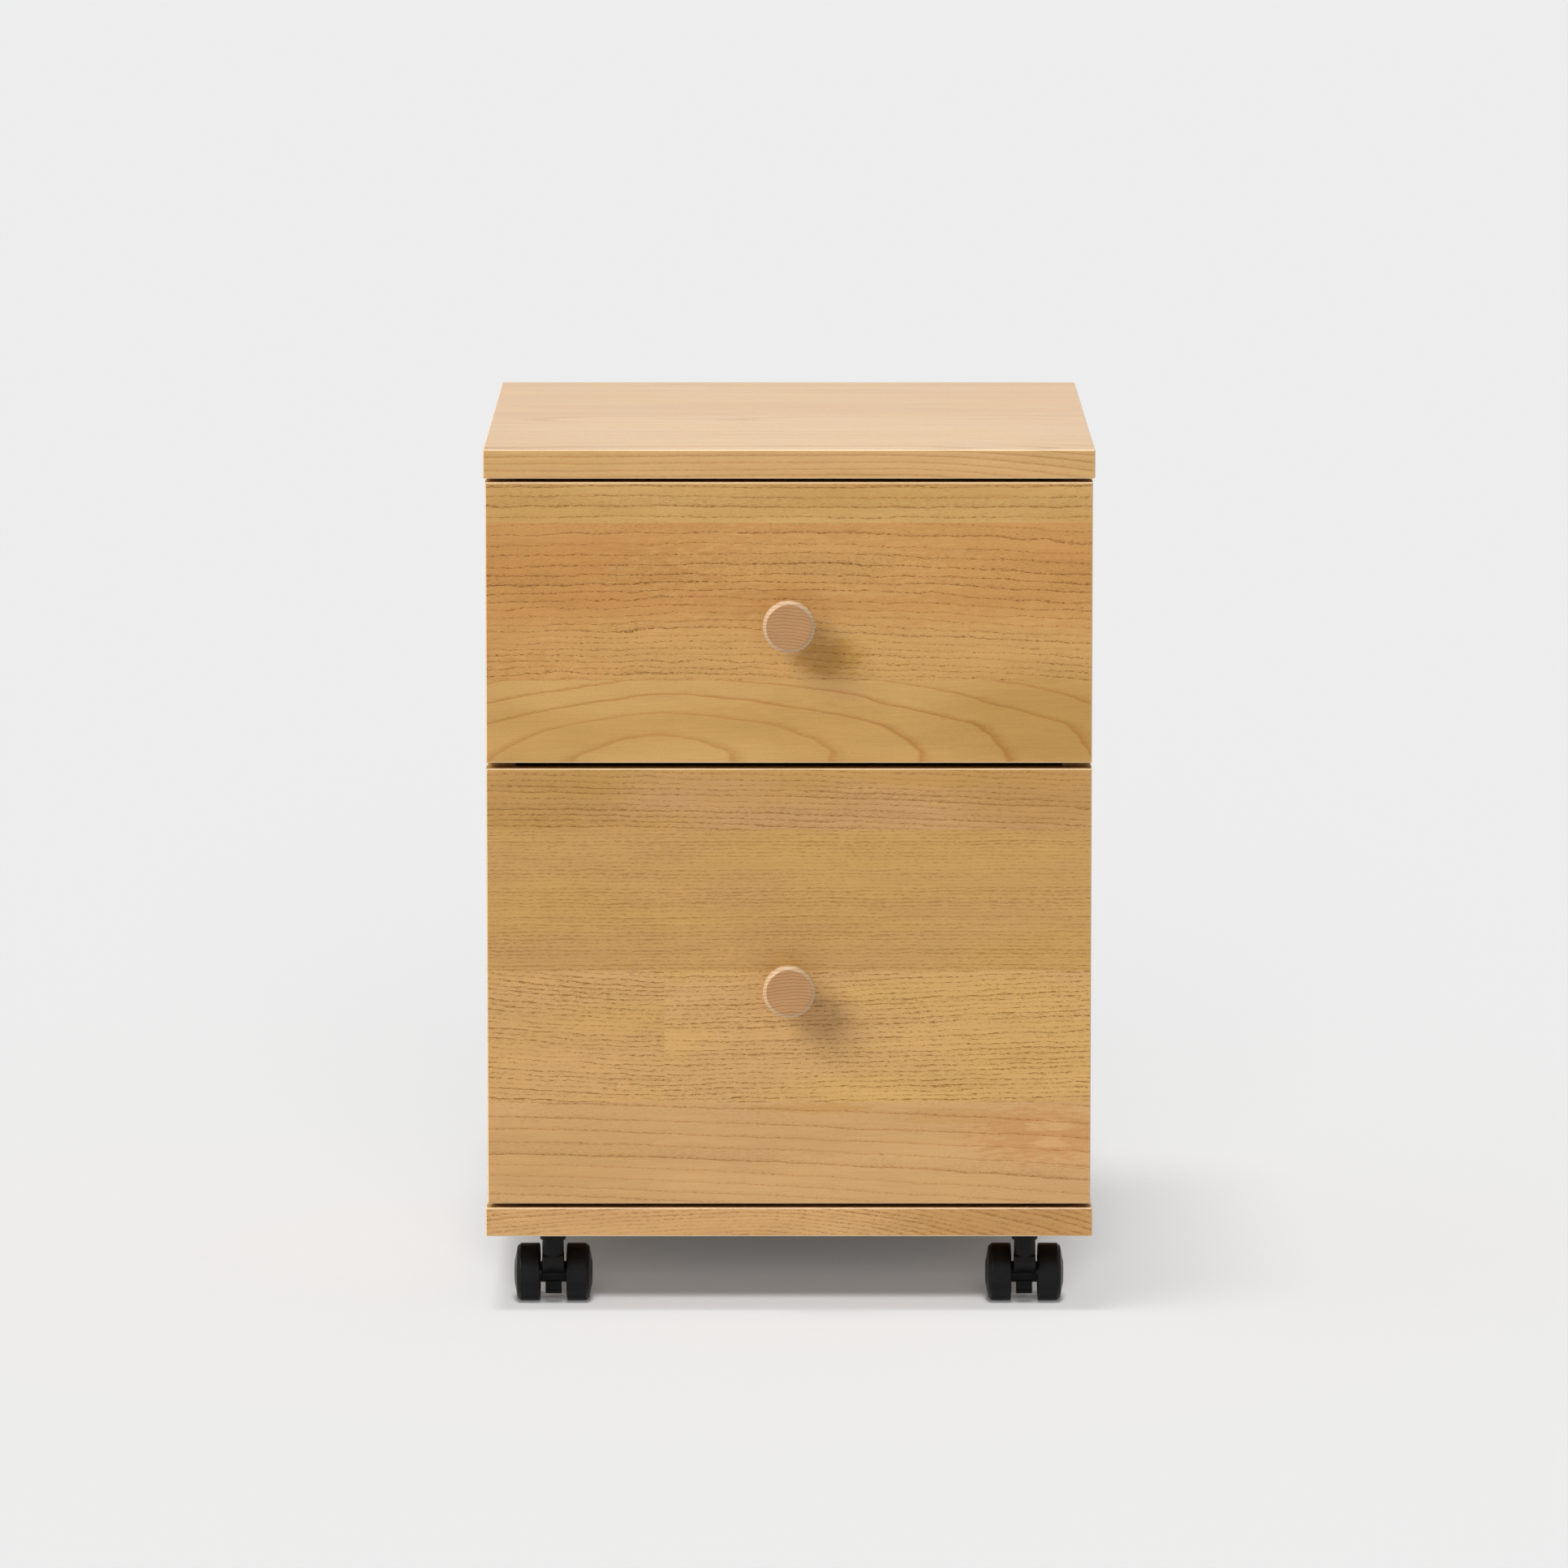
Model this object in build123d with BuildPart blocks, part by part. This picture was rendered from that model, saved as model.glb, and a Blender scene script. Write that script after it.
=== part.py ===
from build123d import *
import os

# Wooden file cabinet on four twin-wheel casters: a shallow drawer above a deep one for hanging files.
# Lengths are in millimetres. X runs to the right, Y to the back and Z up, seen from the front.
# The origin lies on the floor, midway between the tips of the knobs and the back edge of the top.

# Driving sizes of the whole cabinet
cabinet_width = 420
cabinet_depth = 500
cabinet_height = 600
ride_height = 53
board = 20
side_inset = 1.5
arris = 0.8

# Gaps around the two drawer fronts
top_gap = 2.5
middle_gap = 4
bottom_gap = 3
front_gap = 1.5
upper_front_height = 194

# Back panel, and the loose tongues that join the sides to the top and bottom
back_board = 6
back_inset = 10
back_groove_depth = 6
back_play = 0.2
tongue_thickness = 5
tongue_height = 20
tongue_play = 0.1
tongue_end_room = 0.5
tongue_front_inset = 20
tongue_back_inset = 12

# Drawer boxes
box_board = 12
box_lift = 18
box_headroom = 46
box_back_room = 9
box_rabbet = 6
box_floor = 5
box_floor_lift = 10
box_groove_depth = 6
box_play = 0.2
box_arris = 0.6

# Screw that draws the knob, the front and the box together
knob_screw_diameter = 4
knob_screw_grip = 14
knob_screw_head_diameter = 9
knob_screw_head_height = 2.5
screw_play = 0.05
screw_end_room = 0.5

# Turned knob
knob_reach = 27
knob_head_diameter = 36
knob_head_length = 9
knob_stem_diameter = 16
knob_stem_length = 8
knob_bevel = 2.6

# Telescopic ball-bearing slides: rail on the cabinet, middle member, runner on the drawer
slide_thickness = 12.7
slide_height = 45
slide_gauge = 1.2
slide_bend = 1
slide_lip = 2.3
rail_mouth_room = 1.7
middle_mouth_room = 1.3
ball_race = 3.6
web_room = 1.3
slide_front_room = 2.5
slide_back_room = 2.5
slide_rise = 45

# Ball retainers between the members
retainer_play = 0.3
retainer_web = 0.7
retainer_length = 200
retainer_front_room = 110
ball_pitch = 44
ball_window = 4
balls_in_row = 4

# Bars for hanging files in the lower drawer
file_bar_thickness = 3
file_bar_height = 12
file_bar_inset = 6
file_bar_play = 0.2
file_bar_end_room = 0.5

# Casters: places and wheels
caster_side_inset = 46
caster_front_inset = 31
caster_back_inset = 46
caster_trail = 15.5
wheel_diameter = 40
wheel_width = 17.9
wheel_gap = 18.4
wheel_face_diameter = 27
wheel_draw = 3.6

# Casters: axle, stem and swivelling housing
axle_diameter = 5
axle_grip = 13
running_play = 0.05
side_play = 0.3
stem_diameter = 8
stem_reach = 21
stem_root_length = 15
neck_diameter = 15
neck_wall = 3
collar_diameter = 18
collar_height = 7
boss_diameter = 14.7
toe_reach = 2
toe_height = 1
toe_slope = 4.5
arm_height = 36
guard_width = 11.2
guard_thickness = 6.5
guard_clearance = 5
guard_rib_height = 1.2
guard_rib_reach = 1

# Places that follow from the sizes above
front_y = -(cabinet_depth - knob_reach) / 2
back_y = front_y + cabinet_depth
drawer_y = front_y + board
side_y = drawer_y + front_gap
panel_z = ride_height + board
ceiling_z = cabinet_height - board
side_x = cabinet_width / 2 - side_inset
inside_x = side_x - board
back_panel_y = back_y - back_inset - back_board

lower_front_z = panel_z + bottom_gap
upper_front_z = ceiling_z - top_gap - upper_front_height
lower_front_height = upper_front_z - middle_gap - lower_front_z

box_x = inside_x - slide_thickness
box_inside_x = box_x - box_board
box_back_y = back_panel_y - box_back_room
box_depth = box_back_y - drawer_y
slide_length = box_depth - slide_front_room - slide_back_room
slide_y = drawer_y + slide_front_room
slide_back_y = slide_y + slide_length

caster_x = cabinet_width / 2 - caster_side_inset
wheel_radius = wheel_diameter / 2
stem_bottom_z = ride_height - stem_reach
housing_top_z = ride_height - side_play


def save(piece, name):
    piece.part.label = name
    export_step(piece.part, f"parts/{name}.step")


def block(x_span, y_span, z_span, mode=Mode.ADD):
    """Add a box between two places along each axis to the part in progress, or cut it from there."""
    with Locations([(sum(x_span) / 2, sum(y_span) / 2, sum(z_span) / 2)]):
        Box(x_span[1] - x_span[0], y_span[1] - y_span[0], z_span[1] - z_span[0], mode=mode)


def cut_block(x_span, y_span, z_span):
    block(x_span, y_span, z_span, mode=Mode.SUBTRACT)


def pin_y(places, radius, y_span, mode=Mode.ADD):
    """Add round pins along Y to the part in progress, at places given as x and z, or cut them from it."""
    with BuildSketch(Plane.XZ.offset(-y_span[1])) as rounds:
        with Locations(*places):
            Circle(radius)
    extrude(rounds.sketch, amount=y_span[1] - y_span[0], mode=mode)


def drill_y(places, radius, y_span):
    pin_y(places, radius, y_span, mode=Mode.SUBTRACT)


os.makedirs("parts", exist_ok=True)

# Top and bottom panels, grooved for the back and slotted for the tongues of the sides
tongue_x = side_x - board / 2
tongue_y_span = (side_y + tongue_front_inset, back_panel_y - tongue_back_inset)
slot_half = tongue_thickness / 2 + tongue_play
slot_depth = tongue_height / 2 + tongue_end_room
slot_y_span = (tongue_y_span[0] - tongue_end_room, tongue_y_span[1] + tongue_end_room)
groove_x = inside_x + back_groove_depth
groove_y_span = (back_panel_y - back_play, back_panel_y + back_board + back_play)


def carcass_panel(bottom_z, inner_z, away):
    """A panel across the sides: its inner face lies at inner_z, and its wood lies away from there."""
    with BuildPart() as panel:
        block((-cabinet_width / 2, cabinet_width / 2), (front_y, back_y), (bottom_z, bottom_z + board))
        chamfer(panel.edges(), length=arris)
        cut_block((-groove_x, groove_x), groove_y_span, sorted((inner_z, inner_z + away * back_groove_depth)))
        for centre_x in (-tongue_x, tongue_x):
            slot_x_span = (centre_x - slot_half, centre_x + slot_half)
            cut_block(slot_x_span, slot_y_span, sorted((inner_z, inner_z + away * slot_depth)))
    return panel


save(carcass_panel(ceiling_z, ceiling_z, 1), "top_panel")

caster_places = {
    "front_left": (-caster_x, front_y + caster_front_inset),
    "front_right": (caster_x, front_y + caster_front_inset),
    "back_left": (-caster_x, back_y - caster_back_inset),
    "back_right": (caster_x, back_y - caster_back_inset),
}

with BuildPart() as bottom_panel:
    add(carcass_panel(ride_height, panel_z, -1).part)
    with BuildSketch(Plane.XY.offset(ride_height)):
        with Locations(*caster_places.values()):
            Circle(stem_diameter / 2 + running_play)
    extrude(amount=stem_root_length + running_play, mode=Mode.SUBTRACT)
save(bottom_panel, "bottom_panel")

# Side panels stand between top and bottom, behind the drawer fronts
with BuildPart() as left_side_panel:
    block((-side_x, -inside_x), (side_y, back_y), (panel_z, ceiling_z))
    chamfer(left_side_panel.edges().filter_by(Axis.Z), length=arris)
    cut_block((-groove_x, -inside_x), groove_y_span, (panel_z, ceiling_z))
    for slot_z_span in ((panel_z, panel_z + slot_depth), (ceiling_z - slot_depth, ceiling_z)):
        cut_block((-tongue_x - slot_half, -tongue_x + slot_half), slot_y_span, slot_z_span)
save(left_side_panel, "left_side_panel")

with BuildPart() as right_side_panel:
    mirror(left_side_panel.part, about=Plane.YZ)
save(right_side_panel, "right_side_panel")

# Back panel, held in grooves on all four sides
back_half_width = groove_x - back_play
back_reach = back_groove_depth - back_play
with BuildPart() as back_panel:
    block(
        (-back_half_width, back_half_width),
        (back_panel_y, back_panel_y + back_board),
        (panel_z - back_reach, ceiling_z + back_reach),
    )
save(back_panel, "back_panel")

with BuildPart() as carcass_tongues:
    for centre_x in (-tongue_x, tongue_x):
        tongue_x_span = (centre_x - tongue_thickness / 2, centre_x + tongue_thickness / 2)
        for joint_z in (panel_z, ceiling_z):
            block(tongue_x_span, tongue_y_span, (joint_z - tongue_height / 2, joint_z + tongue_height / 2))
save(carcass_tongues, "carcass_tongues")

# Slides: each member is a steel channel, drawn across the gap between cabinet side and drawer box

def channel(web_x, mouth_x, half_height, web_wall, flange_wall, lip, centre_z):
    """Outline of a C section with its web at web_x, its flanges out to mouth_x, and their lips turned in."""
    way = 1 if mouth_x > web_x else -1
    inner_height = half_height - flange_wall
    half = [(web_x + way * web_wall, inner_height)]
    if lip > 0:
        lip_x = mouth_x - way * flange_wall
        half += [(lip_x, inner_height), (lip_x, inner_height - lip), (mouth_x, inner_height - lip)]
    else:
        half += [(mouth_x, inner_height)]
    half += [(mouth_x, half_height), (web_x, half_height)]
    lower = [(x, centre_z - z) for x, z in half]
    upper = [(x, centre_z + z) for x, z in reversed(half)]
    return lower + upper


# Sections of the left slide, worked out from the cabinet side towards the drawer
rail_x = -inside_x
runner_x = -box_x
rail_half = slide_height / 2
middle_half = rail_half - slide_gauge - ball_race
runner_half = middle_half - slide_gauge - ball_race
middle_x = rail_x + slide_gauge + web_room
runner_tip_x = middle_x + slide_gauge + web_room
rail_mouth_x = runner_x - rail_mouth_room
middle_mouth_x = runner_x - middle_mouth_room
middle_lip = slide_lip - (middle_mouth_room - slide_gauge)


def slide_member(web_x, mouth_x, half_height, lip, centre_z):
    """One channel of a slide, as long as the slide, with its outer bends rounded."""
    outline = channel(web_x, mouth_x, half_height, slide_gauge, slide_gauge, lip, centre_z)
    with BuildPart() as member:
        with BuildSketch(Plane.XZ.offset(-slide_back_y)) as section:
            with BuildLine():
                Polyline(*outline, close=True)
            make_face()
            at_web = [v for v in section.vertices() if abs(v.X - web_x) < slide_gauge / 2]
            fillet(at_web, radius=slide_bend)
        extrude(amount=slide_length)
    return member


def retainer(web_x, mouth_x, outer_half, inner_half, centre_z):
    """Plastic cage of one pair of ball rows: two strips with a window for each ball, on a thin web."""
    with BuildPart() as cage:
        strip = outer_half - inner_half
        with BuildSketch(Plane.XZ.offset(-slide_y - retainer_front_room - retainer_length)):
            with BuildLine():
                Polyline(*channel(web_x, mouth_x, outer_half, retainer_web, strip, 0, centre_z), close=True)
            make_face()
        extrude(amount=retainer_length)
        middle_y = slide_y + retainer_front_room + retainer_length / 2
        with BuildSketch(Plane.XY.offset(centre_z - outer_half)):
            with Locations(((web_x + retainer_web + mouth_x) / 2, middle_y)):
                with GridLocations(0, ball_pitch, 1, balls_in_row):
                    Rectangle(ball_window, ball_window)
        extrude(amount=2 * outer_half, mode=Mode.SUBTRACT)
    return cage


def save_pair(left, left_name, right_name):
    save(left, left_name)
    with BuildPart() as right:
        mirror(left.part, about=Plane.YZ)
    save(right, right_name)


def save_both_in_one(left, name):
    with BuildPart() as both:
        add(left.part)
        mirror(left.part, about=Plane.YZ)
    save(both, name)


def make_slides(drawer, centre_z):
    """The pair of slides of one drawer, with the middle line of their height at centre_z."""
    rail = slide_member(rail_x, rail_mouth_x, rail_half, slide_lip, centre_z)
    save_pair(rail, f"{drawer}_left_slide_rail", f"{drawer}_right_slide_rail")
    middle = slide_member(middle_x, middle_mouth_x, middle_half, middle_lip, centre_z)
    save_pair(middle, f"{drawer}_left_slide_middle", f"{drawer}_right_slide_middle")
    runner = slide_member(runner_x, runner_tip_x, runner_half, 0, centre_z)
    save_pair(runner, f"{drawer}_left_slide_runner", f"{drawer}_right_slide_runner")
    outer_cage = retainer(
        rail_x + slide_gauge + retainer_play,
        rail_mouth_x - slide_gauge - retainer_play,
        rail_half - slide_gauge - retainer_play,
        middle_half + retainer_play,
        centre_z,
    )
    save_both_in_one(outer_cage, f"{drawer}_outer_ball_retainers")
    inner_cage = retainer(
        middle_x + slide_gauge + retainer_play,
        middle_mouth_x - slide_gauge - retainer_play,
        middle_half - slide_gauge - retainer_play,
        runner_half + retainer_play,
        centre_z,
    )
    save_both_in_one(inner_cage, f"{drawer}_inner_ball_retainers")


# Drawer boxes: rabbeted sides, front and back round a grooved floor

box_end_x = box_inside_x + box_rabbet
box_floor_x = box_inside_x + box_groove_depth - box_play
inner_front_y = drawer_y + box_board
inner_back_y = box_back_y - box_board


def floor_groove(bottom_z):
    low_z = bottom_z + box_floor_lift
    return (low_z - box_play, low_z + box_floor + box_play)


def box_side(bottom_z, top_z):
    """Left side of a drawer box, rabbeted at both ends and grooved for the floor."""
    with BuildPart() as side:
        block((-box_x, -box_inside_x), (drawer_y, box_back_y), (bottom_z, top_z))
        chamfer(side.faces().sort_by(Axis.Z)[-1].edges().filter_by(Axis.Y), length=box_arris)
        for ends in ((drawer_y, inner_front_y), (inner_back_y, box_back_y)):
            cut_block((-box_end_x, -box_inside_x), ends, (bottom_z, top_z))
        groove_x_span = (-box_inside_x - box_groove_depth, -box_inside_x)
        cut_block(groove_x_span, (drawer_y, box_back_y), floor_groove(bottom_z))
    return side


def box_end(y_span, groove_y_span, bottom_z, top_z):
    """Front or back of a drawer box, grooved on its inner face for the floor."""
    with BuildPart() as end:
        block((-box_end_x, box_end_x), y_span, (bottom_z, top_z))
        chamfer(end.faces().sort_by(Axis.Z)[-1].edges().filter_by(Axis.X), length=box_arris)
        cut_block((-box_end_x, box_end_x), groove_y_span, floor_groove(bottom_z))
    return end


def knob(centre_z):
    """Turned knob: a slim stem widens to a thick round head with a bevelled flat face."""
    head_radius = knob_head_diameter / 2
    stem_radius = knob_stem_diameter / 2
    with BuildPart() as turned:
        with BuildSketch(Plane((0, front_y, centre_z), x_dir=(0, -1, 0), z_dir=(-1, 0, 0))):
            with BuildLine():
                Polyline(
                    (0, 0),
                    (0, stem_radius),
                    (knob_stem_length, stem_radius),
                    (knob_reach - knob_head_length, head_radius),
                    (knob_reach - knob_bevel, head_radius),
                    (knob_reach, head_radius - knob_bevel),
                    (knob_reach, 0),
                    close=True,
                )
            make_face()
        revolve(axis=Axis((0, front_y, centre_z), (0, -1, 0)))
        drill_y([(0, centre_z)], knob_screw_diameter / 2 + screw_play,
                (front_y - knob_screw_grip - screw_end_room, front_y))
    return turned


def make_drawer(drawer, front_z, front_height):
    """One drawer: front, knob, screws, box and slides."""
    bottom_z = front_z + box_lift
    top_z = front_z + front_height - box_headroom
    knob_z = front_z + front_height / 2
    knob_screw_radius = knob_screw_diameter / 2

    with BuildPart() as front:
        block((-side_x, side_x), (front_y, drawer_y), (front_z, front_z + front_height))
        chamfer(front.edges().filter_by(Axis.Y, reverse=True), length=arris)
        drill_y([(0, knob_z)], knob_screw_radius + screw_play, (front_y, drawer_y))
    save(front, f"{drawer}_front")

    save(knob(knob_z), f"{drawer}_knob")
    with BuildPart() as knob_screw:
        pin_y([(0, knob_z)], knob_screw_radius, (front_y - knob_screw_grip, inner_front_y))
        pin_y([(0, knob_z)], knob_screw_head_diameter / 2,
              (inner_front_y, inner_front_y + knob_screw_head_height))
    save(knob_screw, f"{drawer}_knob_screw")

    save_pair(box_side(bottom_z, top_z), f"{drawer}_box_left", f"{drawer}_box_right")
    with BuildPart() as box_front:
        groove = (inner_front_y - box_groove_depth, inner_front_y)
        add(box_end((drawer_y, inner_front_y), groove, bottom_z, top_z).part)
        drill_y([(0, knob_z)], knob_screw_radius + screw_play, (drawer_y, inner_front_y))
        if drawer == "lower":
            cut_bar_notches((drawer_y, inner_front_y), top_z)
    save(box_front, f"{drawer}_box_front")
    with BuildPart() as box_back:
        groove = (inner_back_y, inner_back_y + box_groove_depth)
        add(box_end((inner_back_y, box_back_y), groove, bottom_z, top_z).part)
        if drawer == "lower":
            cut_bar_notches((inner_back_y, box_back_y), top_z)
    save(box_back, f"{drawer}_box_back")
    with BuildPart() as box_bottom:
        reach = box_groove_depth - box_play
        floor_z = bottom_z + box_floor_lift
        block((-box_floor_x, box_floor_x), (inner_front_y - reach, inner_back_y + reach),
              (floor_z, floor_z + box_floor))
    save(box_bottom, f"{drawer}_box_bottom")

    make_slides(drawer, bottom_z + slide_rise)


# Bars for hanging files, laid in notches at the top of the lower box's front and back

bar_x = box_inside_x - file_bar_inset - file_bar_thickness / 2


def cut_bar_notches(y_span, top_z):
    half_notch = file_bar_thickness / 2 + file_bar_play
    for centre_x in (-bar_x, bar_x):
        cut_block((centre_x - half_notch, centre_x + half_notch), y_span, (top_z - file_bar_height, top_z))


make_drawer("upper", upper_front_z, upper_front_height)
make_drawer("lower", lower_front_z, lower_front_height)

with BuildPart() as file_bars:
    bar_top_z = lower_front_z + lower_front_height - box_headroom
    for centre_x in (-bar_x, bar_x):
        block((centre_x - file_bar_thickness / 2, centre_x + file_bar_thickness / 2),
              (drawer_y + file_bar_end_room, box_back_y - file_bar_end_room),
              (bar_top_z - file_bar_height, bar_top_z))
save(file_bars, "file_bars")


# Casters: drawn once with the swivel axis at the origin, then set in place four times

stem_radius = stem_diameter / 2
neck_radius = neck_diameter / 2
boss_radius = boss_diameter / 2
arm_bottom_z = stem_bottom_z - running_play - neck_wall
toe_y = -neck_radius - toe_reach

with BuildPart() as caster_stems:
    with BuildSketch(Plane.XY.offset(stem_bottom_z)):
        with Locations(*caster_places.values()):
            Circle(stem_radius)
    extrude(amount=stem_reach + stem_root_length)
save(caster_stems, "caster_stems")

with BuildPart() as housing:
    # Neck with its collar, close under the bottom panel
    with BuildSketch(Plane.XY.offset(arm_bottom_z)):
        Circle(neck_radius)
    extrude(amount=housing_top_z - arm_bottom_z)
    with BuildSketch(Plane.XY.offset(ride_height - collar_height)):
        Circle(collar_diameter / 2)
    extrude(amount=collar_height - side_play)
    # Arm from the neck back to the axle, with a sloping toe at its front
    with BuildSketch(Plane.YZ.offset(-neck_radius)):
        with BuildLine():
            Polyline(
                (0, arm_height),
                (-neck_radius, arm_bottom_z + toe_height + toe_slope),
                (toe_y, arm_bottom_z + toe_height),
                (toe_y, arm_bottom_z),
                (caster_trail - boss_radius, wheel_radius),
                (caster_trail, wheel_radius),
                (caster_trail, wheel_radius + boss_radius),
                (neck_radius, arm_height),
                close=True,
            )
        make_face()
    extrude(amount=neck_diameter)
    # Boss round the axle, and the guard that hangs below it between the wheels
    boss_half = wheel_gap / 2 - side_play
    with BuildSketch(Plane.YZ.offset(-boss_half)):
        with Locations((caster_trail, wheel_radius)):
            Circle(boss_radius)
    extrude(amount=2 * boss_half)
    guard_y = caster_trail - guard_thickness / 2
    guard_x_span = (-guard_width / 2, guard_width / 2)
    block(guard_x_span, (guard_y, guard_y + guard_thickness), (guard_clearance, wheel_radius))
    block(
        guard_x_span,
        (guard_y - guard_rib_reach, guard_y),
        (guard_clearance + guard_rib_height, guard_clearance + 2 * guard_rib_height),
    )
    # Bores for the stem and the axle
    with BuildSketch(Plane.XY.offset(stem_bottom_z - running_play)):
        Circle(stem_radius + running_play)
    extrude(amount=housing_top_z - stem_bottom_z + running_play, mode=Mode.SUBTRACT)
    with BuildSketch(Plane.YZ.offset(-boss_half)):
        with Locations((caster_trail, wheel_radius)):
            Circle(axle_diameter / 2 + running_play)
    extrude(amount=2 * boss_half, mode=Mode.SUBTRACT)

axle_half = wheel_gap / 2 + axle_grip
with BuildPart() as axle:
    with BuildSketch(Plane.YZ.offset(-axle_half)):
        with Locations((caster_trail, wheel_radius)):
            Circle(axle_diameter / 2)
    extrude(amount=2 * axle_half)

with BuildPart() as wheel:
    hub_line = Axis((0, caster_trail, wheel_radius), (1, 0, 0))
    inner_x = wheel_gap / 2
    outer_x = inner_x + wheel_width
    with BuildSketch(Plane((0, caster_trail, wheel_radius), x_dir=(1, 0, 0), z_dir=(0, -1, 0))):
        with BuildLine():
            Polyline(
                (outer_x, 0),
                (inner_x, 0),
                (inner_x, wheel_radius),
                (outer_x - wheel_draw, wheel_radius),
                (outer_x, wheel_face_diameter / 2),
                close=True,
            )
        make_face()
    revolve(axis=hub_line)
    # Blind bore for the axle
    with BuildSketch(Plane.YZ.offset(inner_x)):
        with Locations((caster_trail, wheel_radius)):
            Circle(axle_diameter / 2 + running_play)
    extrude(amount=axle_grip + side_play, mode=Mode.SUBTRACT)

with BuildPart() as other_wheel:
    mirror(wheel.part, about=Plane.YZ)

caster_pieces = {"housing": housing, "axle": axle, "left_wheel": other_wheel, "right_wheel": wheel}
for place, (x, y) in caster_places.items():
    for name, piece in caster_pieces.items():
        with BuildPart() as placed:
            with Locations((x, y, 0)):
                add(piece.part)
        save(placed, f"{place}_caster_{name}")
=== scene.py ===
import math
import random

import bmesh
import bpy
from mathutils import Matrix, Vector


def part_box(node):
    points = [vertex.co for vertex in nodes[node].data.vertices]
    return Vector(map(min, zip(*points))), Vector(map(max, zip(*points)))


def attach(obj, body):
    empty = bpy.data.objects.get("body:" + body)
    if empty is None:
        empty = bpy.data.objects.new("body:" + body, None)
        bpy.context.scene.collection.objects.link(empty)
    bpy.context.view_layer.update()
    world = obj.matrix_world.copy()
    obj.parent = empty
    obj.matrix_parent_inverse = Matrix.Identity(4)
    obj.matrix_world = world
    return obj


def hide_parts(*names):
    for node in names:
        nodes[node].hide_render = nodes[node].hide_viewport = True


# The frame, in metres: X to the right, Y to the back, Z up, origin on the floor under the middle
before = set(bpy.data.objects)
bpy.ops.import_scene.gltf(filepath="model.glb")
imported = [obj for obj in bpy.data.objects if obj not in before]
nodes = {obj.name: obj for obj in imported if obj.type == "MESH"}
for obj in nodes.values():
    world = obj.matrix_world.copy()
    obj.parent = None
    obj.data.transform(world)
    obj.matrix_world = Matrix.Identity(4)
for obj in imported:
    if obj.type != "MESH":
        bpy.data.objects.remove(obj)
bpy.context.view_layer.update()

MM = 0.001
MM_PER_METRE = 1000
DRAWERS = ("upper", "lower")
CASTERS = ("front_left", "front_right", "back_left", "back_right")
SIDES = ("left", "right")


# Shader arithmetic

class Field:
    """A number that varies over a surface: the output of a shader node, open to plain arithmetic."""

    def __init__(self, socket):
        self.socket = socket
        self.tree = socket.id_data

    def math(self, operation, *others):
        made = self.tree.nodes.new("ShaderNodeMath")
        made.operation = operation
        for place, value in zip(made.inputs, (self, *others)):
            give(place, value)
        return Field(made.outputs[0])

    def __add__(self, other):
        return self.math("ADD", other)

    def __sub__(self, other):
        return self.math("SUBTRACT", other)

    def __mul__(self, other):
        return self.math("MULTIPLY", other)

    def __truediv__(self, other):
        return self.math("DIVIDE", other)

    def most(self, other):
        return self.math("MAXIMUM", other)

    def above(self, other):
        return self.math("GREATER_THAN", other)

    def power(self, other):
        return self.math("POWER", other)

    def fraction(self):
        return self.math("FRACT")

    def whole(self):
        return self.math("FLOOR")

    def rise(self, low, high, low_value=0.0, high_value=1.0):
        """Goes smoothly from low_value to high_value while this number goes from low to high."""
        made = self.tree.nodes.new("ShaderNodeMapRange")
        made.interpolation_type = "SMOOTHSTEP"
        for name, value in (("Value", self), ("From Min", low), ("From Max", high),
                            ("To Min", low_value), ("To Max", high_value)):
            give(made.inputs[name], value)
        return Field(made.outputs[0])


def give(place, value):
    """Set a node's input to a value, or link it to the output that the value holds."""
    if isinstance(value, Field):
        place.id_data.links.new(value.socket, place)
    else:
        place.default_value = value


def coordinate(tree, name):
    """A place or a direction on the object, by the name that Blender gives it."""
    return Field(tree.nodes.new("ShaderNodeTexCoord").outputs[name])


def triple(tree, x, y, z):
    """Three numbers joined into a vector, or into a colour."""
    made = tree.nodes.new("ShaderNodeCombineXYZ")
    for place, value in zip(made.inputs, (x, y, z)):
        give(place, value)
    return Field(made.outputs[0])


def parts(vector):
    """The three numbers of a vector, or of a colour."""
    made = vector.tree.nodes.new("ShaderNodeSeparateXYZ")
    give(made.inputs[0], vector)
    return [Field(output) for output in made.outputs]


def vector_math(operation, first, second):
    made = first.tree.nodes.new("ShaderNodeVectorMath")
    made.operation = operation
    give(made.inputs[0], first)
    give(made.inputs[1], second)
    return Field(made.outputs["Vector"])


def length(vector):
    made = vector.tree.nodes.new("ShaderNodeVectorMath")
    made.operation = "LENGTH"
    give(made.inputs[0], vector)
    return Field(made.outputs["Value"])


def blend(share, first, second, kind="FLOAT", mode="MIX"):
    """The first value where share is 0, and the second, mixed in by the mode, where it is 1."""
    tree = next(value.tree for value in (share, first, second) if isinstance(value, Field))
    made = tree.nodes.new("ShaderNodeMix")
    made.data_type = kind
    made.blend_type = mode
    give(made.inputs[0], share)
    pair = [socket for socket in made.inputs if socket.enabled and socket.name in ("A", "B")]
    give(pair[0], first)
    give(pair[1], second)
    output = next(socket for socket in made.outputs if socket.enabled)
    return Field(output)


def multiply_colour(colour, other, share=1.0):
    """A colour times the share given of another one."""
    return blend(share, colour, other, "RGBA", "MULTIPLY")


def lighten(colour, light):
    """A colour made as much lighter or darker as a number about 1 says."""
    return multiply_colour(colour, triple(light.tree, light, light, light))


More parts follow.
